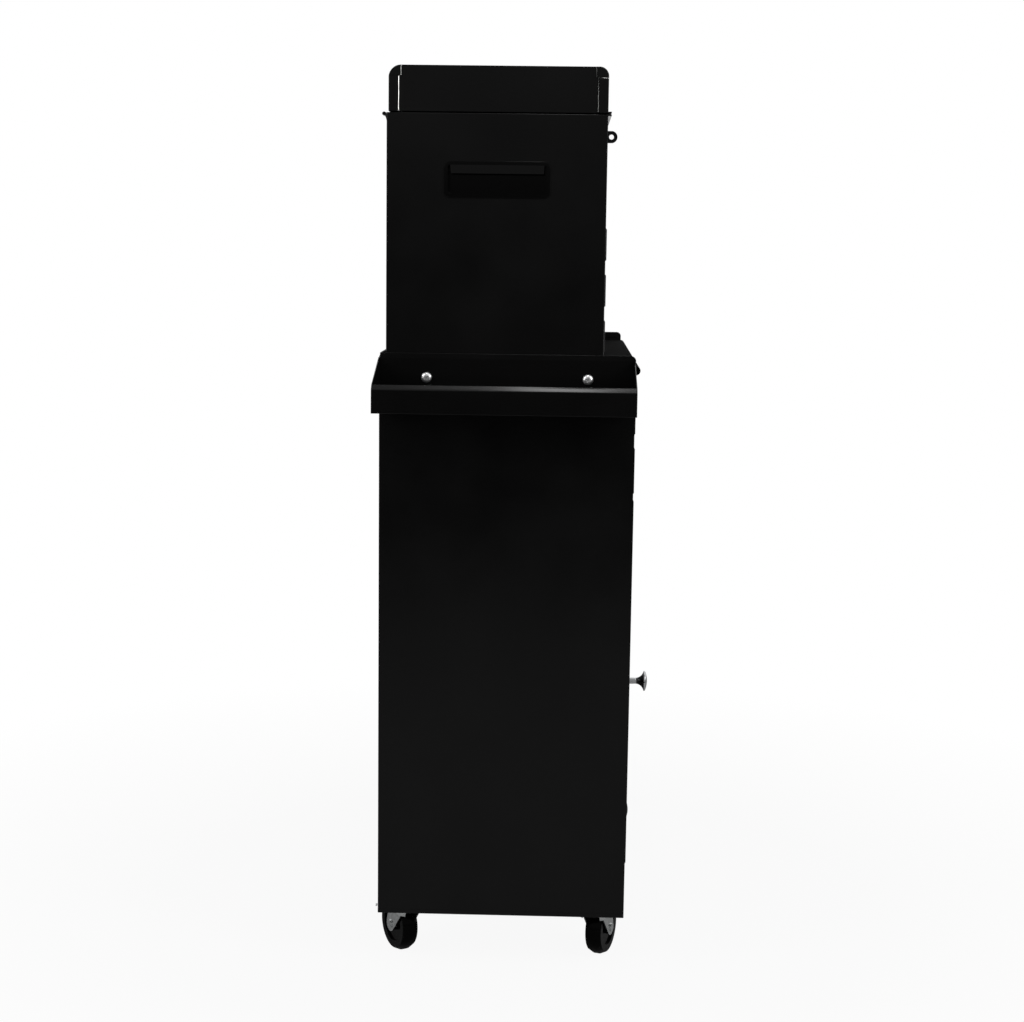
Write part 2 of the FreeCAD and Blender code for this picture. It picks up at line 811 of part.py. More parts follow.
def tangent_point(outside, centre, side):
    """Where a line from a point touches the fork leg's round tip."""
    dx = centre.x - outside.x
    dz = centre.z - outside.z
    distance = math.hypot(dx, dz)
    spread = math.asin(fork_tip_r / distance)
    angle = math.atan2(dz, dx) + side * spread
    run = math.sqrt(distance ** 2 - fork_tip_r ** 2)
    return FreeCAD.Vector(outside.x + run * math.cos(angle), centre.y, outside.z + run * math.sin(angle))


def fork_leg():
    """One leg: wide at the crown, and round about the axle."""
    half = fork_leg_w / 2
    centre = FreeCAD.Vector(trail, leg_y0, wheel_r)
    lead = FreeCAD.Vector(-half, leg_y0, fork_top)
    rear = FreeCAD.Vector(half, leg_y0, fork_top)
    lead_touch = tangent_point(lead, centre, -1)
    rear_touch = tangent_point(rear, centre, 1)
    low = centre + FreeCAD.Vector(0, 0, -fork_tip_r)
    edges = [
        Part.LineSegment(rear, lead).toShape(),
        Part.LineSegment(lead, lead_touch).toShape(),
        Part.Arc(lead_touch, low, rear_touch).toShape(),
        Part.LineSegment(rear_touch, rear).toShape(),
    ]
    return Part.Face(Part.Wire(edges)).extrude(FreeCAD.Vector(0, fork_sheet, 0))


def caster_fork():
    """A pressed fork whose bell-shaped crown runs down into two legs."""
    leg = fork_leg()
    far_leg = leg.mirror(FreeCAD.Vector(0, 0, 0), FreeCAD.Vector(0, 1, 0))
    waist_z = fork_top - fork_bell_h
    foot = FreeCAD.Vector(0, 0, waist_z)
    bell = Part.makeCone(fork_bell_waist_r, fork_bell_r, fork_bell_h, foot)
    inner_r = fork_bell_waist_r - fork_sheet
    inside = Part.makeCone(inner_r, fork_bell_r - fork_sheet, fork_bell_h - fork_sheet, foot)
    slot = box(-fork_bell_r, fork_bell_r, -leg_y0, leg_y0, waist_z, fork_top - fork_sheet)
    kingpin = rod(0, 0, fork_top, kingpin_r, kingpin_top - fork_top, (0, 0, 1))
    fork = fuse([bell.cut(inside).cut(slot), leg, far_leg, kingpin])
    return fork.cut(rod(trail, -leg_y1, wheel_r, axle_r + axle_fit, 2 * leg_y1, (0, 1, 0)))


def caster_axle():
    shaft = rod(trail, -leg_y1, wheel_r, axle_r, 2 * leg_y1, (0, 1, 0))
    heads = []
    for y in (-leg_y1 - axle_head_h, leg_y1):
        heads.append(rod(trail, y, wheel_r, axle_head_r, axle_head_h, (0, 1, 0)))
    return fuse([shaft] + heads)


def caster_wheel():
    """A solid wheel turned about its axle: bore, hub, sunk web, rim and tapered tread."""
    half = wheel_w / 2
    web = half - hub_recess
    bore_r = axle_r + axle_fit
    side = [(half, bore_r), (half, hub_r), (web, hub_r), (web, hub_recess_r), (half, hub_recess_r)]
    side += tread_corners[::-1]
    outline = side + [(-across, radius) for across, radius in side[::-1]]
    points = [FreeCAD.Vector(0, across, radius) for across, radius in outline]
    face = Part.Face(Part.makePolygon(points + points[:1]))
    wheel = face.revolve(FreeCAD.Vector(0, 0, 0), FreeCAD.Vector(0, 1, 0), 360)
    wheel.translate(FreeCAD.Vector(trail, 0, wheel_r))
    return wheel


def placed(shape, x, y, turn):
    copy = shape.copy()
    copy.rotate(FreeCAD.Vector(0, 0, 0), FreeCAD.Vector(0, 0, 1), turn)
    copy.translate(FreeCAD.Vector(x, y, 0))
    return copy


# Top chest: folded panels round the drawers and an open till under the lid
def cup_block(x0, x1, margin):
    """The handle's outline as a block through the chest side, with round corners."""
    half_y = cup_w / 2 - margin
    half_z = cup_h / 2 - margin
    block = box(x0, x1, cup_y - half_y, cup_y + half_y, cup_z - half_z, cup_z + half_z)
    return block.makeFillet(cup_round - margin, edges_along(block, (1, 0, 0)))


def chest_side():
    back_wall = chest_y1 - 2 * sheet
    panel = box(chest_in, chest_half, chest_fold, chest_y1, chest_z0, chest_top_z)
    front_fold = box(chest_open_half, chest_in, chest_fold, chest_fold + sheet, chest_z0, till_floor_z)
    back_fold = box(chest_open_half, chest_in, chest_y1 - sheet, chest_y1, chest_z0, chest_top_z)
    low_turn = box(chest_open_half, chest_in, chest_fold, back_wall, chest_z0, chest_z0 + sheet)
    hem_y0 = chest_fold + sheet
    hem_y1 = back_wall - sheet
    top_hem = box(chest_in - sheet, chest_in, hem_y0, hem_y1, chest_top_z - hem, chest_top_z)
    panel = fuse([panel, front_fold, back_fold, low_turn, top_hem])
    return panel.cut(cup_block(chest_in, chest_half, cup_rim))


def handle_cup():
    """A pressed cup with a rim outside, and a grip lip that leans in from its top."""
    inner_x = chest_half - cup_d
    rim = cup_block(chest_half, chest_half + cup_rim_t, 0)
    cup = cup_block(inner_x, chest_half + cup_rim_t, cup_rim)
    pocket = cup_block(inner_x + cup_wall, chest_half + cup_rim_t, cup_rim + cup_wall)
    top = cup_z + cup_h / 2 - cup_rim - cup_wall
    out_x = chest_half + cup_rim_t
    lip_points = [
        FreeCAD.Vector(out_x, 0, top),
        FreeCAD.Vector(out_x - grip_in, 0, top - grip_h),
        FreeCAD.Vector(out_x - grip_in - cup_wall, 0, top - grip_h),
        FreeCAD.Vector(out_x - 2 * cup_wall, 0, top),
    ]
    lip = Part.Face(Part.makePolygon(lip_points + lip_points[:1]))
    lip = lip.extrude(FreeCAD.Vector(0, cup_w - 2 * cup_rim - 2 * grip_end, 0))
    lip.translate(FreeCAD.Vector(0, cup_y - cup_w / 2 + cup_rim + grip_end, 0))
    return fuse([fuse([rim, cup]).cut(pocket), lip])


def chest_back():
    wall_y = chest_y1 - 2 * sheet
    wall = box(-chest_in, chest_in, wall_y, wall_y + sheet, chest_z0, chest_top_z)
    hem_half = chest_in - sheet
    top_hem = box(-hem_half, hem_half, wall_y - sheet, wall_y, chest_top_z - hem, chest_top_z)
    return fuse([wall, top_hem])


def chest_bottom():
    y0 = chest_fold + sheet
    z0 = chest_z0 + sheet
    plate = box(-chest_in, chest_in, y0, chest_y1 - 2 * sheet, z0, z0 + sheet)
    sill = box(-chest_open_half, chest_open_half, chest_fold, y0, z0, chest_fronts_z0 - front_row_gap)
    return fuse([plate, sill])


def till_front():
    """The front of the till, whose top edge turns out as a lip, open at the hasp."""
    panel = box(-chest_in, chest_in, chest_fold, chest_fold + sheet, till_floor_z, chest_top_z)
    lip = box(-chest_half, chest_half, chest_y0 - rim_out, chest_fold, chest_top_z - rim_t, chest_top_z)
    notch_half = hasp_notch / 2
    notch = box(-notch_half, notch_half, chest_y0 - rim_out, chest_fold, chest_top_z - rim_t, chest_top_z)
    return fuse([panel, lip.cut(notch)])


def till_floor():
    y0 = chest_fold + sheet
    y1 = chest_y1 - 2 * sheet
    plate = box(-chest_in, chest_in, y0, y1, till_floor_z, till_floor_z + sheet)
    side = box(chest_in - sheet, chest_in, y0 + flange, y1, till_floor_z - top_flange, till_floor_z)
    return fuse([plate] + both_sides(side))


def chest_feet():
    feet = []
    for x in (-chest_half + foot_in, chest_half - foot_in):
        for y in (chest_y0 + foot_in, chest_y1 - foot_in):
            low = FreeCAD.Vector(x, y, top_z + foot_gap)
            feet.append(Part.makeCone(foot_low_r, foot_r, chest_z0 + sheet - low.z, low))
    return feet


def padlock_staple():
    """A riveted plate with a round-ended eye that stands out from it."""
    y1 = chest_fold
    y0 = y1 - staple_plate_t
    half_w_plate = staple_plate_w / 2
    half_h_plate = staple_plate_h / 2
    plate = box(-half_w_plate, half_w_plate, y0, y1, staple_z - half_h_plate, staple_z + half_h_plate)
    half_t = staple_t / 2
    web = box(-half_t, half_t, staple_y, y1, staple_z - staple_r, staple_z + staple_r)
    tip = rod(-half_t, staple_y, staple_z, staple_r, staple_t, (1, 0, 0))
    eye = rod(-half_t, staple_y, staple_z, staple_hole_r, staple_t, (1, 0, 0))
    return fuse([plate, web, tip]).cut(eye)


# Lid: a rounded shell, its two end plates and its hinge
def lid_block(margin, x0, x1):
    """The lid's outline in the YZ plane, shrunk by a margin, as a block along X."""
    y0 = lid_y0 + margin
    y1 = lid_y1 - margin
    top = lid_top_z - margin
    block = box(x0, x1, y0, y1, lid_z0, top)
    block = block.makeFillet(lid_front_round - margin, edges_along_x(block, y0, top))
    return block.makeFillet(lid_back_round - margin, edges_along_x(block, y1, top))


def lid_shell():
    """One sheet folded round the front, top and back, with tabs and ears at each end."""
    shell = lid_block(0, -chest_half, chest_half).cut(lid_block(sheet, -chest_half, chest_half))
    lip = box(-chest_half, chest_half, chest_y0 - rim_out, lid_y0, lid_z0, lid_z0 + rim_t)
    notch_half = hasp_notch / 2
    notch = box(-notch_half, notch_half, chest_y0 - rim_out, lid_y0, lid_z0, lid_z0 + rim_t)
    # The front and back are folded round each corner and welded to the end plates
    x1 = chest_half + lid_tab_t
    tab_top = lid_z0 + lid_tab_h
    folds = []
    for y_tab, y_turn in ((lid_y0, lid_y0), (lid_y1 - lid_tab_w, lid_y1 - sheet)):
        tab = box(chest_half, x1, y_tab, y_tab + lid_tab_w, lid_z0, tab_top)
        turn = box(chest_half - sheet, x1, y_turn, y_turn + sheet, lid_z0, tab_top)
        folds += both_sides(fuse([tab, turn]))
    # The top's corners come down as rounded ears above the tabs
    outline = lid_block(0, chest_half - sheet, x1)
    inside = lid_block(sheet, chest_half - sheet, chest_half)
    for y_ear in (lid_y0, lid_y1 - lid_ear_w):
        zone = box(chest_half - sheet, x1, y_ear, y_ear + lid_ear_w, tab_top + lid_seam, lid_top_z)
        folds += both_sides(outline.cut(inside).common(zone))
    return fuse([shell, lip.cut(notch)] + folds)


def lid_ends():
    plate = lid_block(sheet, chest_in, chest_half)
    hem_y0 = lid_y0 + 2 * sheet
    hem_y1 = lid_y1 - 3 * sheet
    low_hem = box(chest_in - sheet, chest_in, hem_y0, hem_y1, lid_z0, lid_z0 + skirt_hem)
    return both_sides(fuse([plate, low_hem]))


def knuckle_spans(first):
    """The lengths along X that belong to one leaf's knuckles."""
    pitch = hinge_len / knuckle_count
    spans = []
    for i in range(first, knuckle_count, 2):
        x0 = -hinge_len / 2 + i * pitch
        spans.append((x0, pitch))
    return spans


def knuckles(first, radius, trim):
    return [
        rod(x0 + trim, hinge_y, hinge_z, radius, pitch - 2 * trim, (1, 0, 0))
        for x0, pitch in knuckle_spans(first)
    ]


def notched(leaf, first):
    """Cut square notches in a leaf's edge, one for each of the other leaf's knuckles."""
    reach = knuckle_r + knuckle_gap
    y0 = hinge_y - reach
    z0 = hinge_z - reach
    for x0, pitch in knuckle_spans(first):
        leaf = leaf.cut(box(x0, x0 + pitch, y0, y0 + 2 * reach, z0, z0 + 2 * reach))
    return leaf


def hinge_lower():
    """The chest's leaf lies on the back, leans out at 45 degrees, and holds the pin."""
    end_y = hinge_y - knuckle_r * leaf_reach
    end_z = hinge_z - knuckle_r * leaf_reach
    foot_z = end_z - (end_y - chest_y1)
    path = [(chest_y1, foot_z - hinge_leaf_h), (chest_y1, foot_z), (end_y, end_z)]
    leaf = notched(bent_sheet(path, sheet, -hinge_len / 2, hinge_len / 2), 1)
    pin = rod(-hinge_len / 2, hinge_y, hinge_z, hinge_pin_r, hinge_len, (1, 0, 0))
    return fuse([leaf, pin] + knuckles(0, knuckle_r, knuckle_gap / 2))


def hinge_upper():
    """The lid's leaf passes under the lid's back edge and turns up inside it."""
    inside_y = lid_y1 - sheet
    level = lid_z0 - knuckle_gap
    path = [(hinge_y - knuckle_r * leaf_reach, level), (inside_y, level), (inside_y, level + hinge_leaf_h)]
    leaf = notched(bent_sheet(path, hinge_leaf, -hinge_len / 2, hinge_len / 2), 0)
    upper = fuse([leaf] + knuckles(1, knuckle_r, knuckle_gap / 2))
    bore_r = hinge_pin_r + hinge_pin_fit
    return upper.cut(rod(-hinge_len / 2, hinge_y, hinge_z, bore_r, hinge_len, (1, 0, 0)))


# Hasp: a bracket on the lid and a slotted strap that folds down over the staple
def hasp_bracket():
    half = hasp_w / 2
    y0 = lid_y0 - staple_plate_t
    low = hasp_z - hasp_knuckle_r
    plate = box(-half, half, y0, lid_y0, low, low + hasp_bracket_h)
    parts = [plate]
    for x in (-half, half - hasp_ear_w):
        parts.append(rod(x, hasp_y, hasp_z, hasp_knuckle_r, hasp_ear_w, (1, 0, 0)))
        parts.append(box(x, x + hasp_ear_w, hasp_y, lid_y0, hasp_z - hasp_pin_r, hasp_z + hasp_pin_r))
    parts.append(rod(-half, hasp_y, hasp_z, hasp_pin_r, hasp_w, (1, 0, 0)))
    return fuse(parts)


def hasp_strap():
    """The strap in its raised place, flat against the lid's bracket."""
    half = hasp_w / 2
    y1 = lid_y0 - staple_plate_t - knuckle_gap
    y0 = y1 - hasp_t
    tongue_half = half - hasp_ear_w - knuckle_gap
    shoulder = hasp_z + hasp_knuckle_r + 2 * knuckle_gap
    plate = box(-half, half, y0, y1, shoulder, hasp_z + hasp_len)
    outer = [edge for edge in edges_along(plate, (0, 1, 0)) if edge.CenterOfMass.z > hasp_z + hasp_len / 2]
    plate = plate.makeFillet(hasp_round, outer)
    tongue = box(-tongue_half, tongue_half, y0, y1, hasp_z, shoulder)
    knuckle = rod(-tongue_half, hasp_y, hasp_z, hasp_knuckle_r, 2 * tongue_half, (1, 0, 0))
    near = hasp_z - staple_z - staple_r - hasp_slot_play
    far = math.hypot(hasp_y - staple_y, hasp_z - staple_z) + staple_r + hasp_slot_play
    slot = box(-hasp_slot_w / 2, hasp_slot_w / 2, y0, y1, hasp_z + near, hasp_z + far)
    strap = fuse([plate, tongue, knuckle]).cut(slot)
    return strap.cut(rod(-half, hasp_y, hasp_z, hasp_pin_r + hinge_pin_fit, hasp_w, (1, 0, 0)))


# Every node
write("side_panel_left", [left_side_panel()])
write("side_panel_right", [side_panel()])
write("back_panel", [back_panel()])
write("top_panel", [top_panel()])
write("bottom_panel", [bottom_panel()])
write("plinth", [plinth()])
write("drawer_deck", [drawer_deck()])
write("pan_screws", pan_screws())
write("shelf", [shelf()])
write("shelf_clips", shelf_clips())
write("base_slides", base_slides())
write("door_panel", [door_panel()])
write("door_pivots", door_pivots())
write("door_knob", [door_knob()])
write("knob_screw", [knob_screw()])
write("magnet_catch", [magnet_catch()])
write("strike_plate", [strike_plate()])
write("side_tray", [side_tray()])
write("tray_fasteners", tray_fasteners())
write("caster_bolts", caster_bolts())
write("caster_plates", [caster_plate(x, y) for x, y in caster_places()])

caster_names = ("front_left", "back_left", "front_right", "back_right")
caster_turns = (turn_front_left, turn_back_left, turn_front_right, turn_back_right)
for name, turn, (x, y) in zip(caster_names, caster_turns, caster_places()):
    write("caster_fork_" + name, [placed(caster_fork(), x, y, turn)])
    write("caster_axle_" + name, [placed(caster_axle(), x, y, turn)])
    write("caster_wheel_" + name, [placed(caster_wheel(), x, y, turn)])

for i in range(base_drawer_count):
    z0 = base_drawer_z(i)
    name = "base_drawer_%d" % (i + 1)
    write(name + "_front", [drawer_front(z0, base_front_h, front_half, y_face)])
    write(name + "_box", [drawer_box(z0, base_front_h, base_box_half, y_face, base_box_end)])

for i in range(chest_drawer_count):
    z0 = chest_drawer_z(i)
    name = "chest_drawer_%d" % (i + 1)
    write(name + "_front", [drawer_front(z0, chest_front_h, chest_front_half, chest_y0)])
    write(name + "_box", [drawer_box(z0, chest_front_h, chest_box_half, chest_y0, chest_box_end)])

write("chest_side_right", [chest_side()])
write("chest_side_left", [mirror_x(chest_side())])
write("chest_back", [chest_back()])
write("chest_bottom", [chest_bottom()])
write("till_front", [till_front()])
write("till_floor", [till_floor()])
write("chest_slides", chest_slides())
write("chest_feet", chest_feet())
write("handle_cups", both_sides(handle_cup()))
write("padlock_staple", [padlock_staple()])
write("hinge_lower", [hinge_lower()])
write("hinge_upper", [hinge_upper()])
write("lid_shell", [lid_shell()])
write("lid_ends", lid_ends())
write("hasp_bracket", [hasp_bracket()])
write("hasp_strap", [hasp_strap()])
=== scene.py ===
import bmesh
import bpy
import json
import math
from mathutils import Matrix, Vector


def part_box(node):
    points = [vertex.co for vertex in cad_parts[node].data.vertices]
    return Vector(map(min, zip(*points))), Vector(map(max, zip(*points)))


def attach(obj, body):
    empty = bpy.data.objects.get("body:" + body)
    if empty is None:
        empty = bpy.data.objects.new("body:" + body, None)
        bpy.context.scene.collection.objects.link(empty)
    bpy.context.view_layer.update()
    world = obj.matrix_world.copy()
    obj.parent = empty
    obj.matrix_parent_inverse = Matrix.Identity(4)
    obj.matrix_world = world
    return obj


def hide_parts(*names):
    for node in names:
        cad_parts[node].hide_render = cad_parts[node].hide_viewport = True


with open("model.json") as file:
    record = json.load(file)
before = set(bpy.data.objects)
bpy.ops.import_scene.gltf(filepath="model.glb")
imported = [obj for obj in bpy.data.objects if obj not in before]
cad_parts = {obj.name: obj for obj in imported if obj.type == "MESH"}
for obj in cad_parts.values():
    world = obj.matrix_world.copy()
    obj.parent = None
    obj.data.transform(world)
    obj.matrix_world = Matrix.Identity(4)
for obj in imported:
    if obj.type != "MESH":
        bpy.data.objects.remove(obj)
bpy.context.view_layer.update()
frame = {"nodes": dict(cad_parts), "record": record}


# Cabinet sheets
# Every panel is 1 mm mild steel, folded on a press brake and powder coated black after it is folded.
# The coat is semi-gloss with a fine orange peel. It runs round each bend and draws thin over each raw edge.
mm = 0.001
nodes = frame["nodes"]
body_of_node = {node: body for body, held in frame["record"]["behaviour"]["bodies"].items() for node in held}
slot_of_node = {part["node"]: part["material_slot"] for part in frame["record"]["subparts"]}


def linear(hex_colour):
    """An sRGB hex colour as linear red, green, blue and alpha."""
    channels = [int(hex_colour[i:i + 2], 16) / 255 for i in (1, 3, 5)]
    return tuple([c / 12.92 if c <= 0.04045 else ((c + 0.055) / 1.055) ** 2.4 for c in channels] + [1.0])


def add(tree, kind, settings=None, **inputs):
    """One node with its settings, and its inputs as values or as other nodes' sockets."""
    node = tree.nodes.new(kind)
    for key, value in (settings or {}).items():
        setattr(node, key, value)
    for key, value in inputs.items():
        label = key.replace("_", " ")
        socket = node.inputs[label] if label in node.inputs else node.inputs[int(key[1:])]
        if isinstance(value, bpy.types.NodeSocket):
            tree.links.new(value, socket)
        else:
            socket.default_value = value
    return node


def new_material(name, colour="#808080"):
    material = bpy.data.materials.new(name)
    material.use_nodes = True
    shader = material.node_tree.nodes["Principled BSDF"]
    shader.inputs["Base Color"].default_value = linear(colour)
    return material, material.node_tree, shader


def uneven_gloss(tree, shader, size_mm, detail, glossiest, dullest):
    """Lets the gloss wander between two roughnesses, in spots about size_mm across. Returns the spots."""
    place = add(tree, "ShaderNodeTexCoord").outputs["Object"]
    spots = add(
        tree, "ShaderNodeTexNoise", Vector=place, Scale=1 / (size_mm * mm), Detail=detail,
    ).outputs["Fac"]
    rough = add(tree, "ShaderNodeMapRange", Value=spots, To_Min=glossiest, To_Max=dullest)
    tree.links.new(rough.outputs["Result"], shader.inputs["Roughness"])
    return spots


def two_toned(tree, shader, spots, dark, pale):
    """Lets the colour wander between two over the same spots, whose noise mostly stays in its middle."""
    middle = (0.3, 0.7)
    tone = add(tree, "ShaderNodeValToRGB", Fac=spots)
    for element, position, colour in zip(tone.color_ramp.elements, middle, (dark, pale)):
        element.position = position
        element.color = linear(colour)
    tree.links.new(tone.outputs["Color"], shader.inputs["Base Color"])


# Semi-gloss polyester powder, baked: deep black with a soft sheen that spreads a lamp into a haze.
# Its orange peel is 1.6 mm across and two hundredths of a millimetre deep. Dust dulls whatever faces up.
def coat(name, clean, dusty, shine):
    peel_mm = 1.6
    peel_deep_mm = 0.02
    patch_mm = 90.0
    patch_share = 0.2
    dust_starts = 0.75
    dust_lies = 0.98
    material, tree, shader = new_material(name)
    shader.inputs["Specular IOR Level"].default_value = shine
    place = add(tree, "ShaderNodeTexCoord").outputs["Object"]
    peel = add(tree, "ShaderNodeTexNoise", Vector=place, Scale=1 / (peel_mm * mm), Detail=2.0).outputs["Fac"]
    bump = add(tree, "ShaderNodeBump", Height=peel, Distance=peel_deep_mm * mm, Strength=0.3)
    tree.links.new(bump.outputs["Normal"], shader.inputs["Normal"])
    patches = add(
        tree, "ShaderNodeTexNoise", Vector=place, Scale=1 / (patch_mm * mm), Detail=2.0,
    ).outputs["Fac"]
    two_toned(tree, shader, patches, "#080808", "#0b0b0b")
    facing = add(tree, "ShaderNodeSeparateXYZ", Vector=add(tree, "ShaderNodeNewGeometry").outputs["Normal"])
    dust = add(
        tree, "ShaderNodeMapRange", Value=facing.outputs["Z"], From_Min=dust_starts, From_Max=dust_lies,
    ).outputs["Result"]
    cloudy = add(tree, "ShaderNodeMath", {"operation": "MULTIPLY_ADD"}, _0=patches, _1=patch_share, _2=dust)
    rough = add(tree, "ShaderNodeMapRange", Value=cloudy.outputs[0], To_Min=clean, To_Max=dusty)
    tree.links.new(rough.outputs["Result"], shader.inputs["Roughness"])
    return material


powder_coat = coat("semi_gloss_black_powder_coat", clean=0.15, dusty=0.9, shine=0.15)

# Bright bare steel on chosen cut edges is a painted highlight: it stands in for the gleam that a lamp leaves
# along them.
highlight_steel, tree, shader = new_material("steel_edge_painted_highlight", "#e2e2df")
shader.inputs["Metallic"].default_value = 1.0
uneven_gloss(tree, shader, size_mm=4.0, detail=4.0, glossiest=0.25, dullest=0.5)


def face_depth(face, edge):
    """How far a face reaches away from one of its edges."""
    start = edge.verts[0].co
    along = (edge.verts[1].co - start).normalized()
    return max([(v.co - start - along * (v.co - start).dot(along)).length for v in face.verts])


def blends(edge):
    """Whether the shading runs over an edge: round faces blend, and a wide flat face stays flat."""
    round_angle = math.radians(29)
    flat_angle = math.radians(4)
    strip_depth = 1.2 * mm
    wider = 6
    if len(edge.link_faces) != 2:
        return False
    angle = abs(edge.calc_face_angle_signed(0))
    small, large = sorted(edge.link_faces, key=lambda face: face.calc_area())
    rounding = large.calc_area() > wider * small.calc_area() and face_depth(small, edge) < strip_depth
    return angle < (flat_angle if rounding else round_angle)


def finished(name, bm, body, slot, *materials):
    """A bmesh as a piece that rides on a body, with its normals weighted by the faces' areas."""
    for edge in bm.edges:
        edge.smooth = blends(edge)
    for face in bm.faces:
        face.smooth = True
    mesh = bpy.data.meshes.new(name)
    bm.to_mesh(mesh)
    bm.free()
    for material in materials:
        mesh.materials.append(material)
    piece = bpy.data.objects.new(name, mesh)
    bpy.context.scene.collection.objects.link(piece)
    weighted = piece.modifiers.new("weighted", "WEIGHTED_NORMAL")
    weighted.weight = 100
    weighted.keep_sharp = True
    solid = bpy.data.meshes.new_from_object(piece.evaluated_get(bpy.context.evaluated_depsgraph_get()))
    piece.modifiers.remove(weighted)
    piece.data = solid
    solid.name = name
    bpy.data.meshes.remove(mesh)
    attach(piece, body)
    return piece


def corners_of(bm, depth_mm, long_mm):
    """The edges that stick out sharply, between faces deep enough and for long enough."""
    sharp = math.radians(35)
    found = []
    for edge in bm.edges:
        if len(edge.link_faces) == 2 and edge.calc_face_angle_signed(0) > sharp:
            depth = min([face_depth(face, edge) for face in edge.link_faces])
            if depth > depth_mm * mm and edge.calc_length() > long_mm * mm:
                found.append(edge)
    return found


def eased(bm, edges, radius, segments, material=0):
    if edges:
        bmesh.ops.bevel(
            bm, geom=edges, offset=radius * mm, offset_type="OFFSET", segments=segments, profile=0.5,
            affect="EDGES", clamp_overlap=False, material=material,
        )


def dressed(node, material, bend_r=1.1, edge_r=0.22, highlit_edge=None, highlight_r=0.5):
    """A CAD node again, with its folds rounded and its cut edges eased, in the node's own place."""
    merged_within = 0.002 * mm
    flat_within = math.radians(0.5)
    fold_room = 2.5 * bend_r
    fold_length = 6.0
    edge_room = 2.2 * edge_r
    bm = bmesh.new()
    bm.from_mesh(nodes[node].data)
    bmesh.ops.remove_doubles(bm, verts=bm.verts, dist=merged_within)
    bmesh.ops.dissolve_limit(bm, angle_limit=flat_within, verts=bm.verts, edges=bm.edges)
    gets_highlight = highlit_edge or (lambda edge: False)
    eased(bm, [edge for edge in corners_of(bm, fold_room, fold_length) if not gets_highlight(edge)], bend_r, segments=4)
    eased(bm, [edge for edge in corners_of(bm, edge_room, edge_room) if not gets_highlight(edge)], edge_r, segments=3)
    # The picked edges get a one-step chamfer of bright steel, which is a painted highlight.
    eased(bm, [edge for edge in corners_of(bm, 0.0, 0.0) if gets_highlight(edge)], highlight_r, segments=1, material=1)
    materials = [material, highlight_steel] if highlit_edge else [material]
    piece = finished(node + "_form", bm, body_of_node[node], slot_of_node[node], *materials)
    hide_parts(node)
    return piece


base_sheets = (
    "side_panel_left", "side_panel_right", "back_panel", "bottom_panel", "plinth", "drawer_deck", "shelf",
)
for name in base_sheets:
    dressed(name, powder_coat, bend_r=1.0)

# What is set down on the top sheet has worn its gloss off.
worn_coat = coat("black_coat_worn_matt", clean=0.5, dusty=1.0, shine=0.02)
dressed("top_panel", worn_coat, bend_r=1.0)


# Screws
# Pan-head screws with a cross recess, cold-headed from wire and zinc plated bright, with a cool blue cast.
# One set of nodes makes them all. Each sits at a point and faces the way that the point's arrow does.
zinc, tree, shader = new_material("bright_zinc_plate")
shader.inputs["Metallic"].default_value = 1.0
spangle = uneven_gloss(tree, shader, size_mm=3.0, detail=4.0, glossiest=0.13, dullest=0.26)
two_toned(tree, shader, spangle, "#b4b6b6", "#d2d4d4")
bump = add(tree, "ShaderNodeBump", Height=spangle, Distance=0.02 * mm, Strength=0.3)
tree.links.new(bump.outputs["Normal"], shader.inputs["Normal"])

head_sides = 40
head_rings = 9
tip_r = 0.01 * mm
dome_flatness = 4.0
dome_shoulder = 0.6
shank_sides = 24
turn_seed = 3
lengths = (
    "Head Radius", "Head Height", "Recess Span", "Recess Width", "Recess Depth",
    "Shank Radius", "Shank Length", "Nut Radius", "Nut Height", "Nut Seat",
)
screw_tree = bpy.data.node_groups.new("pan_head_screws", "GeometryNodeTree")
screw_tree.interface.new_socket("Geometry", in_out="INPUT", socket_type="NodeSocketGeometry")
for label in lengths:
    screw_tree.interface.new_socket(label, in_out="INPUT", socket_type="NodeSocketFloat")
screw_tree.interface.new_socket("Seed", in_out="INPUT", socket_type="NodeSocketInt")
screw_tree.interface.new_socket("Finish", in_out="INPUT", socket_type="NodeSocketMaterial")
screw_tree.interface.new_socket("Geometry", in_out="OUTPUT", socket_type="NodeSocketGeometry")
given = screw_tree.nodes.new("NodeGroupInput").outputs

# The head is a cone whose rings are lifted to a flattened dome: one less the radius to a power, rooted.
cone = add(
    screw_tree, "GeometryNodeMeshCone", {"fill_type": "NGON"}, Vertices=head_sides, Side_Segments=head_rings,
    Radius_Top=tip_r, Radius_Bottom=given["Head Radius"], Depth=given["Head Height"],
)
ring = add(screw_tree, "GeometryNodeInputPosition").outputs[0]
spot = add(screw_tree, "ShaderNodeSeparateXYZ", Vector=ring)
across = spot.outputs["X"]
along = spot.outputs["Y"]
flat = add(screw_tree, "ShaderNodeCombineXYZ", X=across, Y=along)
reach = add(screw_tree, "ShaderNodeVectorMath", {"operation": "LENGTH"}, _0=flat.outputs[0])
share = add(
    screw_tree, "ShaderNodeMath", {"operation": "DIVIDE", "use_clamp": True},
    _0=reach.outputs["Value"], _1=given["Head Radius"],
)
curve = add(screw_tree, "ShaderNodeMath", {"operation": "POWER"}, _0=share.outputs[0], _1=dome_flatness)
fall = {"operation": "SUBTRACT", "use_clamp": True}
left = add(screw_tree, "ShaderNodeMath", fall, _0=1.0, _1=curve.outputs[0])
root = add(screw_tree, "ShaderNodeMath", {"operation": "POWER"}, _0=left.outputs[0], _1=dome_shoulder)
lift = add(
    screw_tree, "ShaderNodeMath", {"operation": "MULTIPLY"}, _0=root.outputs[0], _1=given["Head Height"],
)
domed = add(screw_tree, "ShaderNodeCombineXYZ", X=across, Y=along, Z=lift.outputs[0])
dome = add(
    screw_tree, "GeometryNodeSetPosition", Geometry=cone.outputs["Mesh"], Position=domed.outputs[0],
).outputs["Geometry"]

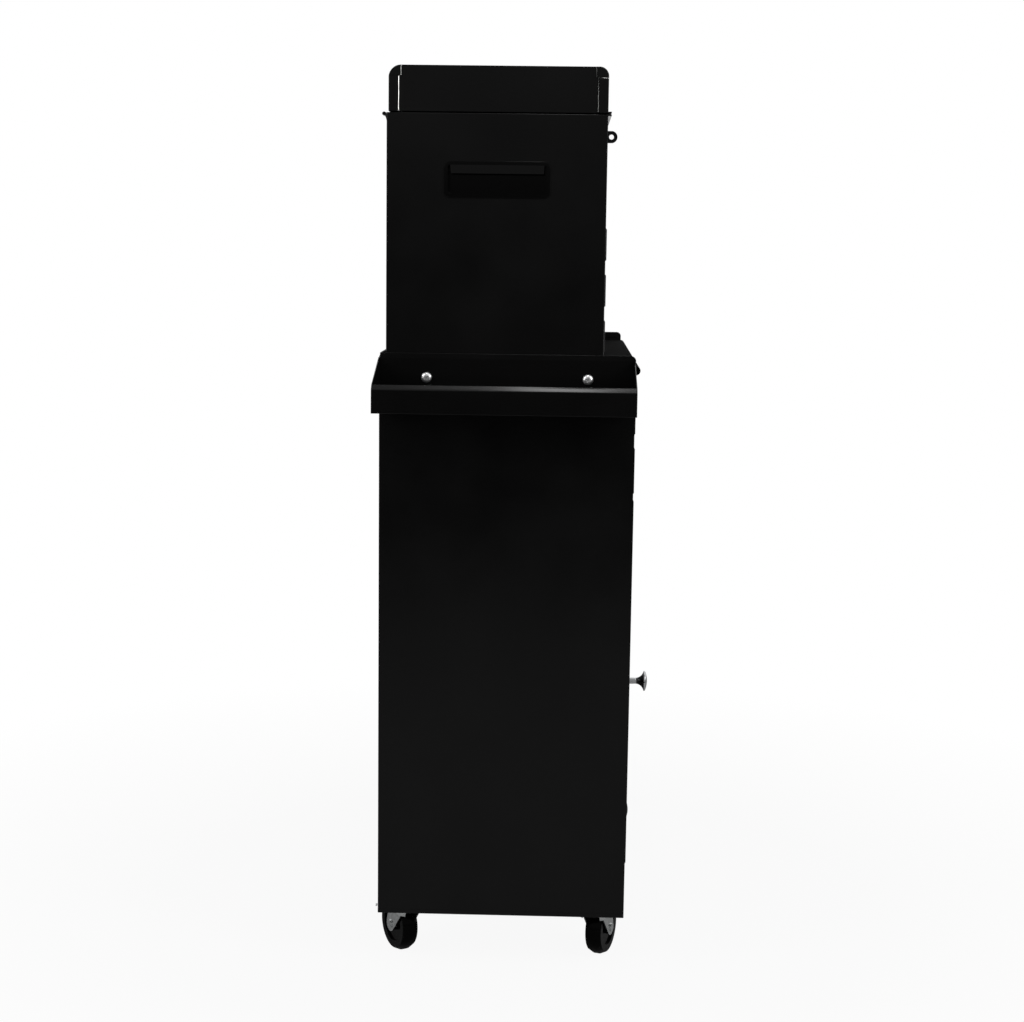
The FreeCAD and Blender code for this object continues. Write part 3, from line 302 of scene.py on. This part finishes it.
# Two crossed bars cut the recess.
deep = add(
    screw_tree, "ShaderNodeMath", {"operation": "MULTIPLY"}, _0=given["Recess Depth"], _1=2.0,
).outputs[0]
span = given["Recess Span"]
width = given["Recess Width"]
one_way = add(screw_tree, "ShaderNodeCombineXYZ", X=span, Y=width, Z=deep)
other_way = add(screw_tree, "ShaderNodeCombineXYZ", X=width, Y=span, Z=deep)
crown = add(screw_tree, "ShaderNodeCombineXYZ", Z=given["Head Height"]).outputs[0]
cross = dome
for way in (one_way, other_way):
    bar = add(screw_tree, "GeometryNodeMeshCube", Size=way.outputs[0]).outputs["Mesh"]
    set_bar = add(screw_tree, "GeometryNodeTransform", Geometry=bar, Translation=crown)
    cut = add(screw_tree, "GeometryNodeMeshBoolean", {"operation": "DIFFERENCE"}, _0=cross)
    screw_tree.links.new(set_bar.outputs["Geometry"], cut.inputs["Mesh 2"])
    cross = cut.outputs["Mesh"]
more = {"operation": "GREATER_THAN"}
has_recess = add(screw_tree, "FunctionNodeCompare", more, _0=given["Recess Depth"], _1=0.0).outputs[0]
head = add(screw_tree, "GeometryNodeSwitch", {"input_type": "GEOMETRY"}, _0=has_recess, _1=dome, _2=cross)

# The shank goes back from the seat, and the nut sits part way down it.
shank = add(
    screw_tree, "GeometryNodeMeshCylinder",
    Vertices=shank_sides, Radius=given["Shank Radius"], Depth=given["Shank Length"],
)
half_back = add(
    screw_tree, "ShaderNodeMath", {"operation": "MULTIPLY"}, _0=given["Shank Length"], _1=-0.5,
)
shank_place = add(screw_tree, "ShaderNodeCombineXYZ", Z=half_back.outputs[0])
shank = add(
    screw_tree, "GeometryNodeTransform", Geometry=shank.outputs["Mesh"], Translation=shank_place.outputs[0],
)
nut = add(
    screw_tree, "GeometryNodeMeshCylinder", Vertices=6, Radius=given["Nut Radius"], Depth=given["Nut Height"],
)
nut_back = add(
    screw_tree, "ShaderNodeMath", {"operation": "MULTIPLY_ADD"},
    _0=given["Nut Height"], _1=-0.5, _2=given["Nut Seat"],
)
nut_place = add(screw_tree, "ShaderNodeCombineXYZ", Z=nut_back.outputs[0])
nut = add(
    screw_tree, "GeometryNodeTransform", Geometry=nut.outputs["Mesh"], Translation=nut_place.outputs[0],
).outputs["Geometry"]
has_nut = add(screw_tree, "FunctionNodeCompare", more, _0=given["Nut Height"], _1=0.0).outputs[0]
nut = add(screw_tree, "GeometryNodeSwitch", {"input_type": "GEOMETRY"}, _0=has_nut, _2=nut)
screw = add(screw_tree, "GeometryNodeJoinGeometry")
for made in (head.outputs[0], shank.outputs["Geometry"], nut.outputs[0]):
    screw_tree.links.new(made, screw.inputs[0])

# Each is turned about its own axis by a different amount, as a driver leaves them.
facing = add(screw_tree, "GeometryNodeInputNamedAttribute", {"data_type": "FLOAT_VECTOR"}, Name="facing")
upright = add(screw_tree, "FunctionNodeAlignRotationToVector", {"axis": "Z"}, Vector=facing.outputs[0])
chance = add(screw_tree, "FunctionNodeRandomValue", {"data_type": "FLOAT"}, Seed=given["Seed"])
chance.inputs[3].default_value = math.pi
spin = add(screw_tree, "FunctionNodeAxisAngleToRotation", Axis=(0, 0, 1), Angle=chance.outputs[1])
turned = add(
    screw_tree, "FunctionNodeRotateRotation", {"rotation_space": "LOCAL"},
    Rotation=upright.outputs[0], Rotate_By=spin.outputs[0],
)
placed = add(
    screw_tree, "GeometryNodeInstanceOnPoints",
    Points=given["Geometry"], Instance=screw.outputs[0], Rotation=turned.outputs[0],
)
real = add(screw_tree, "GeometryNodeRealizeInstances", Geometry=placed.outputs[0])
coated = add(screw_tree, "GeometryNodeSetMaterial", Geometry=real.outputs[0], Material=given["Finish"])
screw_tree.links.new(coated.outputs[0], screw_tree.nodes.new("NodeGroupOutput").inputs[0])


def fastened(name, body, slot, seats, arrow, finish, sizes):
    """Screws at seats, all facing along one arrow, as one piece on a body. Sizes are in millimetres."""
    points = bpy.data.meshes.new(name + "_points")
    points.from_pydata([tuple(seat) for seat in seats], [], [])
    for arrows in points.attributes.new("facing", "FLOAT_VECTOR", "POINT").data:
        arrows.vector = arrow
    maker = bpy.data.objects.new(name + "_maker", points)
    bpy.context.scene.collection.objects.link(maker)
    modifier = maker.modifiers.new("screws", "NODES")
    modifier.node_group = screw_tree
    for item in screw_tree.interface.items_tree:
        if item.in_out == "INPUT" and item.name in sizes:
            modifier[item.identifier] = sizes[item.name] * mm
        elif item.in_out == "INPUT" and item.name == "Seed":
            modifier[item.identifier] = turn_seed
        elif item.in_out == "INPUT" and item.name == "Finish":
            modifier[item.identifier] = finish
    made = bpy.data.meshes.new_from_object(maker.evaluated_get(bpy.context.evaluated_depsgraph_get()))
    bpy.data.objects.remove(maker)
    bm = bmesh.new()
    bm.from_mesh(made)
    bpy.data.meshes.remove(made)
    return finished(name, bm, body, slot, finish)


# Two self-cutting screws hold the bottom panel to the folds of the back.
low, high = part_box("pan_screws")
head_r = (high[2] - low[2]) / 2
back_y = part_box("back_panel")[1][1]
seats = [(x, back_y, (low[2] + high[2]) / 2) for x in (low[0] + head_r, high[0] - head_r)]
pan_sizes = {
    "Head Radius": head_r / mm, "Head Height": (high[1] - back_y) / mm,
    "Recess Span": 4.4, "Recess Width": 1.0, "Recess Depth": 1.1,
    "Shank Radius": 1.9, "Shank Length": (back_y - low[1]) / mm,
}
pan_slot = slot_of_node["pan_screws"]
pan_screws = fastened("pan_screw_heads", "cabinet", pan_slot, seats, (0, 1, 0), zinc, pan_sizes)
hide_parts("pan_screws")


# Drawers
# Each drawer is a folded and spot-welded box behind a folded front with a finger pull along its top.
# They have the cabinet's own coat inside and out.
for name in nodes:
    if "drawer_" in name and (name.endswith("_front") or name.endswith("_box")):
        dressed(name, powder_coat, bend_r=1.0)


# Slides, clips, plates and small fittings
# Cold-rolled strip, stamped and folded, then zinc plated in a barrel, which rounds its edges a little.
# The slides are riveted to their brackets, and the caster plates are bolted through the bottom panel.
zinc_nodes = (
    "base_slides", "chest_slides", "shelf_clips", "caster_plates", "caster_bolts", "door_pivots",
    "knob_screw", "strike_plate", "hasp_bracket", "hasp_strap",
)
for name in zinc_nodes:
    dressed(name, zinc, bend_r=0.8, edge_r=0.2)

# The padlock's eye is the same strip, but its zinc colour is darkened: a painted dark reflection of the dim
# room.
zinc_painted_dark, tree, shader = new_material("zinc_with_painted_dark_reflection", "#2c2c2d")
shader.inputs["Metallic"].default_value = 1.0
uneven_gloss(tree, shader, size_mm=3.0, detail=4.0, glossiest=0.2, dullest=0.34)
dressed("padlock_staple", zinc_painted_dark, bend_r=0.8, edge_r=0.3)


# Door
# A folded pan with the cabinet's coat, which turns on two pins at its right edge.
# Its knob is turned from steel and held by one screw. Chrome plate makes it a mirror with a cool cast.
dressed("door_panel", powder_coat, bend_r=1.0)

chrome, tree, shader = new_material("polished_chrome_plate", "#b4b5b6")
shader.inputs["Metallic"].default_value = 1.0
uneven_gloss(tree, shader, size_mm=12.0, detail=3.0, glossiest=0.04, dullest=0.09)
dressed("door_knob", chrome, edge_r=0.3)


# Magnet catch
# A moulded case of black polypropylene, screwed behind the door's edge. The polish of the mould
# leaves it a deep black that mirrors only what is bright.
moulded, tree, shader = new_material("polished_black_polypropylene", "#010101")
shader.inputs["Specular IOR Level"].default_value = 0.18
uneven_gloss(tree, shader, size_mm=6.0, detail=2.0, glossiest=0.08, dullest=0.14)
dressed("magnet_catch", moulded, edge_r=0.4)


# Side tray
# One folded sheet with sloped ends, whose rim leans in at 45 degrees. Two machine screws go through it
# and the side panel into nuts inside the cabinet. Its coat is the cabinet's, but hands keep it wiped,
# so what faces up stays glossier.
wiped_coat = coat("semi_gloss_black_coat_kept_wiped", clean=0.15, dusty=0.2, shine=0.2)
dressed("side_tray", wiped_coat, bend_r=0.8, edge_r=0.2)

# The screws have a white zinc plate, which is paler and more satin than the bright one.
white_zinc, tree, shader = new_material("white_zinc_plate", "#f0f0f0")
shader.inputs["Metallic"].default_value = 1.0
uneven_gloss(tree, shader, size_mm=2.0, detail=4.0, glossiest=0.3, dullest=0.45)

tray_sheet = 1.0
tray_head_r = 6.5
nut_across = 8
low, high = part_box("tray_fasteners")
seat_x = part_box("side_panel_left")[0][0] - tray_sheet * mm
seat_z = (low[2] + high[2]) / 2
seats = [(seat_x, y, seat_z) for y in (low[1] + tray_head_r * mm, high[1] - tray_head_r * mm)]
tray_sizes = {
    "Head Radius": tray_head_r, "Head Height": 3.4, "Recess Span": 6.4, "Recess Width": 1.3,
    "Recess Depth": 1.9, "Shank Radius": 2.5, "Shank Length": 5.5,
    "Nut Radius": nut_across / math.sqrt(3), "Nut Height": 3.5, "Nut Seat": -2.0,
}
tray_slot = slot_of_node["tray_fasteners"]
tray_screws = fastened("tray_screws", "cabinet", tray_slot, seats, (-1, 0, 0), white_zinc, tray_sizes)
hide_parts("tray_fasteners")


# Casters
# Pressed and zinc-plated forks turn on a ball race. Each holds a solid black wheel on a riveted axle.
# The wheels are moulded in polypropylene with a polished, crowned tread.
wheel_black, tree, shader = new_material("polished_black_wheel", "#020202")
shader.inputs["Specular IOR Level"].default_value = 0.05
scuff = uneven_gloss(tree, shader, size_mm=2.5, detail=4.0, glossiest=0.14, dullest=0.24)
bump = add(tree, "ShaderNodeBump", Height=scuff, Distance=0.01 * mm, Strength=0.2)
tree.links.new(bump.outputs["Normal"], shader.inputs["Normal"])

for corner in ("front_left", "back_left", "front_right", "back_right"):
    dressed("caster_fork_" + corner, zinc, bend_r=0.9, edge_r=0.3)
    dressed("caster_axle_" + corner, zinc, edge_r=0.4)
    dressed("caster_wheel_" + corner, wheel_black, bend_r=1.0, edge_r=0.5)


# Top chest
# Folded sheets round three drawers and an open till, with the cabinet's coat. It stands on four feet
# of moulded rubber, which is matt and takes no highlight.
chest_sheets = (
    "chest_side_left", "chest_side_right", "chest_back", "chest_bottom", "till_front", "till_floor",
    "hinge_lower",
)
for name in chest_sheets:
    dressed(name, powder_coat, bend_r=1.0)

rubber, tree, shader = new_material("black_moulded_rubber", "#0b0b0b")
shader.inputs["Specular IOR Level"].default_value = 0.2
uneven_gloss(tree, shader, size_mm=3.0, detail=2.0, glossiest=0.55, dullest=0.7)
dressed("chest_feet", rubber, edge_r=0.5)


# Recessed handles
# A cup of moulded polypropylene snaps into each side of the chest. Its thin frame lies on the sheet,
# and a grip hangs from its top edge, in front of the pocket for the fingers.
dressed("handle_cups", moulded, bend_r=0.8, edge_r=0.4)


# Lid
# A rounded shell with welded end plates, hinged along the back. Its front and back turn round each
# corner as a narrow tab, whose cut edge carries a strip of bright steel as a painted highlight.
lid_low, lid_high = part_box("lid_shell")


def tab_edge(edge):
    """Whether an edge is the cut edge of a tab, on the outside of one of the lid's ends."""
    on_plane = 0.1 * mm
    off_corner = 5 * mm
    long_enough = 8 * mm
    ear_up = 30 * mm
    ear_down = 8 * mm
    first, last = [vert.co for vert in edge.verts]
    on_end = min([abs(first.x - x) + abs(last.x - x) for x in (lid_low[0], lid_high[0])]) < on_plane
    inside = min([abs(vert.y - y) for y in (lid_low[1], lid_high[1]) for vert in (first, last)]) > off_corner
    in_front = first.y < 0 and lid_low[2] + ear_up < first.z < lid_high[2] - ear_down
    below_ear = abs(first.y - last.y) > long_enough and in_front
    upright = abs(first.z - last.z) > long_enough
    return on_end and (below_ear or (inside and upright))


dressed("lid_shell", powder_coat, bend_r=1.0, highlit_edge=tab_edge, highlight_r=0.5)
dressed("lid_ends", powder_coat, bend_r=1.0)
dressed("hinge_upper", zinc, edge_r=0.2)


# Camera
# It stands off the left side, a little nearer the front, and looks slightly down.
picture_w = 1024
focal_px = 1828.6
yaw = math.radians(1.519)
pitch = math.radians(-8.321)
roll = math.radians(0.756)
camera_place = Vector((-2.456, -0.0552, 0.9056))
camera_data = bpy.data.cameras.new("camera")
camera = bpy.data.objects.new("camera", camera_data)
bpy.context.scene.collection.objects.link(camera)
bpy.context.scene.camera = camera
camera_data.sensor_width = 36.0
camera_data.sensor_fit = "HORIZONTAL"
camera_data.lens = focal_px * camera_data.sensor_width / picture_w
camera_data.clip_start = 0.05
camera_data.clip_end = 50.0
ahead = Vector((math.cos(yaw) * math.cos(pitch), math.sin(yaw) * math.cos(pitch), math.sin(pitch)))
level = Vector((math.sin(yaw), -math.cos(yaw), 0.0))
above = level.cross(ahead)
right = level * math.cos(roll) + above * math.sin(roll)
up = above * math.cos(roll) - level * math.sin(roll)
stand = Matrix((right, up, -ahead)).transposed().to_4x4()
stand.translation = camera_place
camera.matrix_world = stand


# Studio floor
# A round, pale floor. The camera sees its edge fade to plain white, and it keeps a soft shadow
# near the casters.
floor_r = 3.0
shadow_near = 0.5
shadow_far = 1.3
white_near = 0.93
floor_mesh = bpy.data.meshes.new("floor")
bm = bmesh.new()
bmesh.ops.create_circle(bm, cap_ends=True, segments=96, radius=floor_r)
bm.to_mesh(floor_mesh)
bm.free()
floor = bpy.data.objects.new("floor", floor_mesh)
bpy.context.scene.collection.objects.link(floor)
floor_material, tree, shader = new_material("white_floor", "#aaaaaa")
shader.inputs["Roughness"].default_value = 0.9
shader.inputs["Specular IOR Level"].default_value = 0.1
middle = add(tree, "ShaderNodeTexCoord").outputs["Object"]
far = add(tree, "ShaderNodeVectorMath", {"operation": "LENGTH"}, _0=middle).outputs["Value"]
fade = add(
    tree, "ShaderNodeMapRange",
    Value=far, From_Min=shadow_near, From_Max=shadow_far, To_Min=white_near, To_Max=1.0,
)
camera_ray = add(tree, "ShaderNodeLightPath").outputs["Is Camera Ray"]
part = add(tree, "ShaderNodeMath", {"operation": "MULTIPLY"}, _0=camera_ray, _1=fade.outputs["Result"])
white = add(tree, "ShaderNodeEmission", Color=(1, 1, 1, 1), Strength=1.0)
mix = add(
    tree, "ShaderNodeMixShader", _0=part.outputs[0], _1=shader.outputs["BSDF"], _2=white.outputs["Emission"],
)
tree.links.new(mix.outputs[0], tree.nodes["Material Output"].inputs["Surface"])
floor_mesh.materials.append(floor_material)


# Studio room
# The backdrop behind the object is white, also where the metal mirrors it. The room behind the camera
# is dim at eye level and lighter above, so the coat and the chrome reflect little from there. The ranges
# are along X and Z of a direction of length one.
dimmest = 0.02
brightest = 0.48
camera_side = -0.9
backdrop_side = 0.6
eye_level = -0.02
over_eye_level = 0.13
world = bpy.data.worlds.new("studio")
bpy.context.scene.world = world
world.use_nodes = True
tree = world.node_tree
smooth = {"interpolation_type": "SMOOTHSTEP"}
way = add(tree, "ShaderNodeSeparateXYZ", Vector=add(tree, "ShaderNodeTexCoord").outputs["Generated"]).outputs
side = add(tree, "ShaderNodeMapRange", smooth, Value=way["X"], From_Min=camera_side, From_Max=backdrop_side)
rise = add(tree, "ShaderNodeMapRange", smooth, Value=way["Z"], From_Min=eye_level, From_Max=over_eye_level)
most = add(
    tree, "ShaderNodeMath", {"operation": "MAXIMUM"}, _0=side.outputs["Result"], _1=rise.outputs["Result"],
)
dim = add(tree, "ShaderNodeMapRange", Value=most.outputs[0], To_Min=dimmest, To_Max=brightest)
room = tree.nodes["Background"]
room.inputs["Color"].default_value = (1, 1, 1, 1)
tree.links.new(dim.outputs["Result"], room.inputs["Strength"])
ray = add(tree, "ShaderNodeLightPath").outputs
behind = add(tree, "ShaderNodeMath", {"operation": "GREATER_THAN"}, _0=way["X"], _1=0.0).outputs[0]
bounced = add(
    tree, "ShaderNodeMath", {"operation": "ADD"}, _0=ray["Is Glossy Ray"], _1=ray["Is Transmission Ray"],
)
mirrored = add(tree, "ShaderNodeMath", {"operation": "MULTIPLY"}, _0=bounced.outputs[0], _1=behind)
seen = add(tree, "ShaderNodeMath", {"operation": "MAXIMUM"}, _0=ray["Is Camera Ray"], _1=mirrored.outputs[0])
backdrop = add(tree, "ShaderNodeBackground", Color=(1, 1, 1, 1), Strength=1.0)
mix = add(tree, "ShaderNodeMixShader", _0=seen.outputs[0], _1=room.outputs[0], _2=backdrop.outputs[0])
tree.links.new(mix.outputs[0], tree.nodes["World Output"].inputs["Surface"])


# Lamps
# Three soft boxes. The narrow one overhead is what the tray's rim mirrors, and the two tall ones stand
# behind the camera, towards the front and the back.
def soft_box(name, place, aim, size, power):
    data = bpy.data.lights.new(name, "AREA")
    data.shape = "RECTANGLE"
    data.size = size[0]
    data.size_y = size[1]
    data.energy = power
    lamp = bpy.data.objects.new(name, data)
    lamp.location = place
    lamp.rotation_euler = (Vector(aim) - Vector(place)).to_track_quat("-Z", "Y").to_euler()
    bpy.context.scene.collection.objects.link(lamp)


tall_box = (1.0, 1.6)
strip_box = (0.18, 1.4)
mid_cabinet = (0, 0, 0.5)
soft_box("box_overhead", (-0.45, -0.05, 2.5), (-0.4, -0.05, 0.7), strip_box, 7.5)
soft_box("box_front", (-1.5, -2.2, 1.9), mid_cabinet, tall_box, 42)
soft_box("box_back", (-1.5, 2.2, 1.9), mid_cabinet, tall_box, 36)

view = bpy.context.scene.view_settings
view.view_transform = "Standard"
